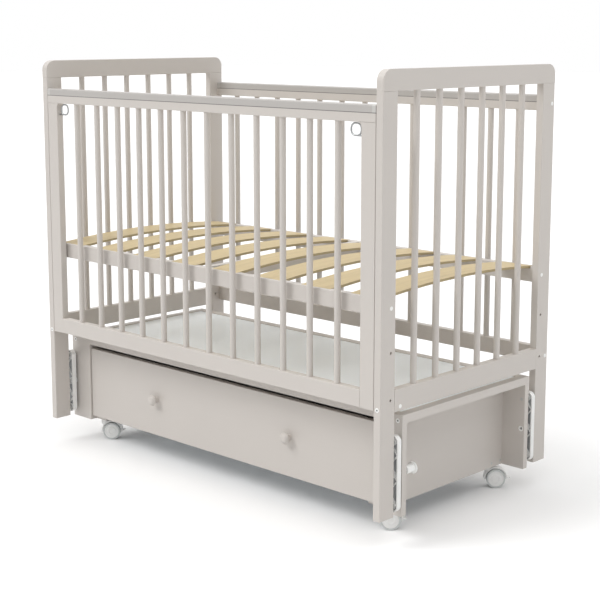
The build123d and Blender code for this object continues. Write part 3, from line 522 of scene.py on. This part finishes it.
class CRIB_OT_mouldings(bpy.types.Operator):
    """Finishes the white moulded links, lock screw, bushes and casters."""

    bl_idname = "crib.mouldings"
    bl_label = "White Mouldings"

    web_half = 2.4 * MM

    def execute(self, context):
        scene = context.scene
        finishes, grain = scene.crib_finishes, scene.crib_grain
        white = moulded_plastic("moulded white ABS", finishes.plastic, grain, 0.3)
        nodes = ["lock_knob", "lock_bushes"]
        for corner in CORNERS:
            nodes += [f"caster_body_{corner}", f"caster_brake_{corner}"]
        dress(nodes, white)
        low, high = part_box("pendulum_link_rear_right")
        web_y = (low.y + high.y) / 2
        ribbed = ribbed_moulding("moulded white ABS, ribbed", finishes.plastic, finishes.web, grain, 0.3,
                                 web_y, self.web_half)
        dress([f"pendulum_link_{corner}" for corner in CORNERS], ribbed)
        caps = moulded_plastic("moulded cap polyethylene", finishes.cap, grain, 0.4)
        dress(["bolt_caps"], caps)
        return {"FINISHED"}


class CRIB_OT_hardware(bpy.types.Operator):
    """Finishes the steel pins, bolts, latch wires, springs and drawer runners."""

    bl_idname = "crib.hardware"
    bl_label = "Steel Hardware"

    def execute(self, context):
        scene = context.scene
        finishes, grain = scene.crib_finishes, scene.crib_grain
        zinc = drawn_steel("zinc plated steel", finishes.zinc, grain, 0.38)
        dress(["frame_bolts", "base_screws", "upper_pivot_pins", "lower_pivot_pins", "drop_guide_pins"], zinc)
        wire = drawn_steel("bright drawn steel wire", finishes.wire, grain, 0.28)
        dress(["latch_wire_left", "latch_wire_right", "latch_spring_left", "latch_spring_right"], wire)
        coat = moulded_plastic("white powder coat on steel", finishes.runner, grain, 0.45)
        dress(["fixed_runners", "sliding_runners"], coat)
        return {"FINISHED"}


class CRIB_OT_boards(bpy.types.Operator):
    """Finishes the thin white dust panel and drawer floor."""

    bl_idname = "crib.boards"
    bl_label = "Coated Boards"

    def execute(self, context):
        scene = context.scene
        board = coated_board("white coated hardboard", scene.crib_finishes.board, scene.crib_grain)
        dress(["dust_panel", "drawer_floor"], board)
        return {"FINISHED"}


class CRIB_OT_wheels(bpy.types.Operator):
    """Turns each caster's pair of wheels: a soft tread round a white disc with raised rings."""

    bl_idname = "crib.wheels"
    bl_label = "Caster Wheels"

    wheel_width = 12 * MM
    wheel_middle = 11 * MM
    axle_radius = 3 * MM
    shoulder_steps = 6
    tread_step = 0.6 * MM
    dish_depth = 1.2 * MM
    rim_depth = 1.4 * MM
    # The disc's rings, from its middle out: the share of its radius, and the height above the dish.
    disc_rings = ((0.0, 0.0), (0.34, 0.0), (0.38, 0.9 * MM), (0.60, 0.9 * MM), (0.64, 0.1 * MM),
                  (0.80, 0.1 * MM), (0.86, 0.8 * MM), (0.96, 0.8 * MM))

    def tread_profile(self, trim, radius):
        half, soft, inner = self.wheel_width / 2, trim.tyre_round, trim.tyre_inner
        top = arc((radius - soft, half - soft), soft, 90, 0, self.shoulder_steps)
        bottom = arc((radius - soft, soft - half), soft, 0, -90, self.shoulder_steps)
        start = (inner, half - self.tread_step)
        return [start, *top, *bottom, (inner, -half), start]

    def disc_profile(self, trim):
        half, rim = self.wheel_width / 2, trim.tyre_inner
        face = [(share * rim, half - self.dish_depth + rise) for share, rise in self.disc_rings]
        return [*face, (rim, half - self.rim_depth), (rim, -half), (0.0, -half)]

    def execute(self, context):
        scene = context.scene
        trim, finishes, grain = scene.crib_trim, scene.crib_finishes, scene.crib_grain
        white = moulded_plastic("moulded white ABS wheel", finishes.plastic, grain, 0.32)
        rubber = moulded_plastic("soft polyurethane tread", finishes.tread, grain, 0.55)
        joints = {joint["name"]: joint for joint in frame["joints"]}
        for corner in CORNERS:
            joint = joints[f"wheel_roll_{corner}"]
            centre, axis = Vector(joint["pos_m"]), Vector(joint["axis"])
            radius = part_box(f"caster_wheels_{corner}")[1].z - centre.z
            treads, discs = bmesh.new(), bmesh.new()
            for side in (1, -1):
                place = facing(centre + axis * side * self.wheel_middle, axis * side)
                turn(treads, self.tread_profile(trim, radius), trim.turns, place)
                turn(discs, self.disc_profile(trim), trim.turns, place)
            reach = self.wheel_middle - self.wheel_width / 2
            axle = [(0, -reach), (self.axle_radius, -reach), (self.axle_radius, reach), (0, reach)]
            turn(discs, axle, trim.turns, facing(centre, axis))
            body, node = f"wheels_{corner}", f"caster_wheels_{corner}"
            finished(f"wheel_treads_{corner}", treads, rubber, body, [node])
            finished(f"wheel_discs_{corner}", discs, white, body, [node])
        return {"FINISHED"}


class CRIB_OT_cap_rings(bpy.types.Operator):
    """Adds the white ring over each screw of the base and the posts, with a dark hexagon of painted shade
    sunk in its middle for the unlit drive recess, and a low dome over each frame bolt."""

    bl_idname = "crib.cap_rings"
    bl_label = "Cap Rings"

    sunk = 0.4 * MM
    plug_proud = 0.1 * MM
    hexagon = 6

    def ring(self, bm, trim, place):
        proud, radius, drive = trim.ring_proud, trim.ring_radius, trim.drive_radius
        profile = [(drive, -self.sunk), (drive, 0.6 * proud), (0.6 * radius, proud),
                   (0.85 * radius, 0.8 * proud), (radius, 0.0), (radius, -self.sunk), (drive, -self.sunk)]
        turn(bm, profile, trim.turns // 2, place)

    def dome(self, bm, trim, place):
        proud, radius = trim.ring_proud, trim.dome_radius
        profile = [(0, -self.sunk), (radius, -self.sunk), (radius, 0.3 * proud), (0.8 * radius, 0.8 * proud),
                   (0, proud)]
        turn(bm, profile, trim.turns // 2, place)

    def execute(self, context):
        scene = context.scene
        trim, finishes = scene.crib_trim, scene.crib_finishes
        white = moulded_plastic("moulded white cap", finishes.plastic, scene.crib_grain, 0.35)
        dark = moulded_plastic("dark drive recess", finishes.recess, scene.crib_grain, 0.6)
        plug = plug_profile(trim.drive_radius, self.sunk, self.plug_proud)
        for piece, body, node in (("base_cap", "base", "base_screws"), ("post_cap", "crib", "bolt_caps")):
            rings, shade_plugs = bmesh.new(), bmesh.new()
            for box in solid_boxes(node):
                size = box[1] - box[0]
                if body == "crib" and size.x < size.y:
                    self.dome(rings, trim, facing(*face_of(box, 0, 1)))
                else:
                    place = facing(*face_of(box, 1, 1))
                    self.ring(rings, trim, place)
                    # Painted shade: a dark hexagon sits in the ring's middle to stand for the unlit drive
                    # recess.
                    turn(shade_plugs, plug, self.hexagon, place)
            finished(f"{piece}_rings", rings, white, body)
            finished(f"{piece}_recesses", shade_plugs, dark, body)
        return {"FINISHED"}


class CRIB_OT_board_recesses(bpy.types.Operator):
    """Adds the flange of each lock bush, and dark discs of painted shade on the inside of the corner
    boards that stand for the unlit bores and pivot seats.
    """

    bl_idname = "crib.board_recesses"
    bl_label = "Board Recesses"

    flange_radius = 8.0 * MM
    # The lock screw's knob stops 0.6 mm from the board, so the flange is lower than that.
    flange_proud = 0.5 * MM
    bore_radius = 4.2 * MM
    bore_depth = 3.0 * MM
    pivot_radius = 2.6 * MM
    pivot_depth = 0.5 * MM
    hole_proud = 0.1 * MM

    def execute(self, context):
        scene = context.scene
        trim, finishes = scene.crib_trim, scene.crib_finishes
        white = moulded_plastic("moulded white bush", finishes.plastic, scene.crib_grain, 0.35)
        dark = moulded_plastic("dark unlit hole", finishes.recess, scene.crib_grain, 0.7)
        pin_low, pin_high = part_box("upper_pivot_pins")
        pin_z = (pin_low.z + pin_high.z) / 2
        flanges, hole_shades = bmesh.new(), bmesh.new()
        ring = [(self.bore_radius, 0), (self.bore_radius, self.flange_proud),
                (self.flange_radius, self.flange_proud), (self.flange_radius, 0), (self.bore_radius, 0)]
        # Painted shade: the bores and the pivot seats are dark discs laid just proud of the board, standing
        # for the unlit depth of each.
        bore = plug_profile(self.bore_radius, self.bore_depth, self.hole_proud)
        pivot = plug_profile(self.pivot_radius, self.pivot_depth, self.hole_proud)
        for box in solid_boxes("lock_bushes"):
            centre, inward = face_of(box, 1, -1)
            turn(flanges, ring, trim.turns, facing(centre, inward))
            holds_lock_screw = centre.x > 0 > centre.y
            if not holds_lock_screw:
                turn(hole_shades, bore, trim.turns, facing(centre, inward))
            turn(hole_shades, pivot, trim.turns, facing((centre.x, centre.y, pin_z), inward))
        finished("bush_flanges", flanges, white, "base")
        finished("board_holes", hole_shades, dark, "base")
        return {"FINISHED"}


class CRIB_OT_panel_screws(bpy.types.Operator):
    """Adds the small screws that hold the caster blocks to the side panels."""

    bl_idname = "crib.panel_screws"
    bl_label = "Panel Screws"

    screw_y = (194 * MM, 231 * MM)
    screw_z = 72 * MM
    sunk = 1 * MM
    rim_proud = 0.1 * MM
    bevel_proud = 0.5 * MM
    crown_proud = 0.6 * MM

    def execute(self, context):
        scene = context.scene
        trim = scene.crib_trim
        zinc = drawn_steel("zinc plated screw head", scene.crib_finishes.zinc, scene.crib_grain, 0.4)
        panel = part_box("base_side_panels")[1].x
        radius = trim.screw_radius
        profile = [(0, -self.sunk), (radius, -self.sunk), (radius, self.rim_proud),
                   (0.8 * radius, self.bevel_proud), (0.35 * radius, self.crown_proud),
                   (0.3 * radius, self.rim_proud), (0, self.rim_proud)]
        heads = bmesh.new()
        for sx in (1, -1):
            for y in self.screw_y:
                for sy in (1, -1):
                    place = facing((sx * panel, sy * y, self.screw_z), (sx, 0, 0))
                    turn(heads, profile, trim.turns // 2, place)
        finished("panel_screws", heads, zinc, "base")
        return {"FINISHED"}


class CRIB_OT_studio(bpy.types.Operator):
    """Sets the floor, lamps, white surround and the photograph's camera."""

    bl_idname = "crib.studio"
    bl_label = "Studio"

    # Only the direction from these places to the crib counts, as the lamps shine like the sun.
    lamp_places = {"top": (-0.2, -0.3, 3.0), "key": (-1.1, -1.8, 1.9), "fill": (2.4, 1.0, 1.5)}
    sight_length = 200.0

    def floor(self, studio):
        bm = bmesh.new()
        bmesh.ops.create_grid(bm, x_segments=1, y_segments=1, size=studio.floor_size / 2)
        mesh = bpy.data.meshes.new("floor")
        bm.to_mesh(mesh)
        bm.free()
        material, tree, shader, _ = new_material("matt white paper floor", Roughness=0.9,
                                                 Specular_IOR_Level=0.1)
        path = add(tree, "ShaderNodeLightPath")
        tone = add(tree, "ShaderNodeMix",
                   {"data_type": "RGBA", "A": rgba(studio.floor_bounce), "B": rgba([studio.floor_white] * 3)},
                   {"Factor": path.outputs["Is Camera Ray"]})
        link(tree, shader, {"Base Color": tone.outputs["Result"]})
        mesh.materials.append(material)
        plane = bpy.data.objects.new("floor", mesh)
        bpy.context.scene.collection.objects.link(plane)

    def lamp(self, name, strength, spread, place):
        light = bpy.data.lights.new(name, "SUN")
        light.energy = strength
        light.angle = spread
        made = bpy.data.objects.new(name, light)
        made.location = place
        made.rotation_mode = "QUATERNION"
        made.rotation_quaternion = (-Vector(place)).to_track_quat("-Z", "Y")
        bpy.context.scene.collection.objects.link(made)

    def surround(self, studio):
        world = bpy.data.worlds.new("white surround")
        world.use_nodes = True
        tree = world.node_tree
        back = tree.nodes["Background"]
        back.inputs["Color"].default_value = (1, 1, 1, 1)
        path = add(tree, "ShaderNodeLightPath")
        seen = add(tree, "ShaderNodeMath", {"operation": "MAXIMUM"},
                   {0: path.outputs["Is Camera Ray"], 1: path.outputs["Is Glossy Ray"]})
        level = add(tree, "ShaderNodeMapRange", {"To Min": studio.sky, "To Max": 1.0},
                    {"Value": seen.outputs["Value"]})
        link(tree, back, {"Strength": level.outputs["Result"]})
        bpy.context.scene.world = world

    def camera(self):
        data = bpy.data.cameras.new("photo camera")
        data.sensor_width = SENSOR_WIDTH
        data.lens = SENSOR_WIDTH * CAMERA_FOCAL_PIXELS / PHOTO_SIDE
        data.shift_y = CAMERA_SHIFT
        data.clip_end = self.sight_length
        made = bpy.data.objects.new("photo camera", data)
        made.location = CAMERA_PLACE
        made.rotation_euler = (math.radians(90 - CAMERA_PITCH), 0, math.radians(CAMERA_AZIMUTH))
        bpy.context.scene.collection.objects.link(made)
        bpy.context.scene.camera = made

    def execute(self, context):
        studio = context.scene.crib_studio
        self.floor(studio)
        for name, place in self.lamp_places.items():
            self.lamp(name, getattr(studio, name), getattr(studio, f"{name}_spread"), place)
        self.surround(studio)
        self.camera()
        context.scene.view_settings.view_transform = "Standard"
        return {"FINISHED"}


class CRIB_PT_panel(bpy.types.Panel):
    """Lists the crib's finishes and pieces."""

    bl_label = "Crib"
    bl_idname = "CRIB_PT_panel"
    bl_space_type = "VIEW_3D"
    bl_region_type = "UI"
    bl_category = "Crib"

    def draw(self, context):
        for operator in OPERATORS:
            self.layout.operator(operator.bl_idname)


GROUPS = {"crib_finishes": CribFinishes, "crib_grain": CribGrain, "crib_trim": CribTrim,
          "crib_studio": CribStudio}
OPERATORS = (CRIB_OT_lacquer, CRIB_OT_slats, CRIB_OT_rail_covers, CRIB_OT_mouldings, CRIB_OT_hardware,
             CRIB_OT_boards, CRIB_OT_wheels, CRIB_OT_cap_rings, CRIB_OT_board_recesses, CRIB_OT_panel_screws,
             CRIB_OT_studio)


def register():
    for cls in (*GROUPS.values(), *OPERATORS, CRIB_PT_panel):
        bpy.utils.register_class(cls)
    for name, group in GROUPS.items():
        setattr(bpy.types.Scene, name, PointerProperty(type=group))


def unregister():
    for name in GROUPS:
        delattr(bpy.types.Scene, name)
    for cls in (CRIB_PT_panel, *reversed(OPERATORS), *reversed(GROUPS.values())):
        bpy.utils.unregister_class(cls)


def main():
    register()
    bpy.ops.crib.lacquer()
    bpy.ops.crib.slats()
    bpy.ops.crib.rail_covers()
    bpy.ops.crib.mouldings()
    bpy.ops.crib.hardware()
    bpy.ops.crib.boards()
    bpy.ops.crib.wheels()
    bpy.ops.crib.cap_rings()
    bpy.ops.crib.board_recesses()
    bpy.ops.crib.panel_screws()
    bpy.ops.crib.studio()


if __name__ == "__main__":
    main()
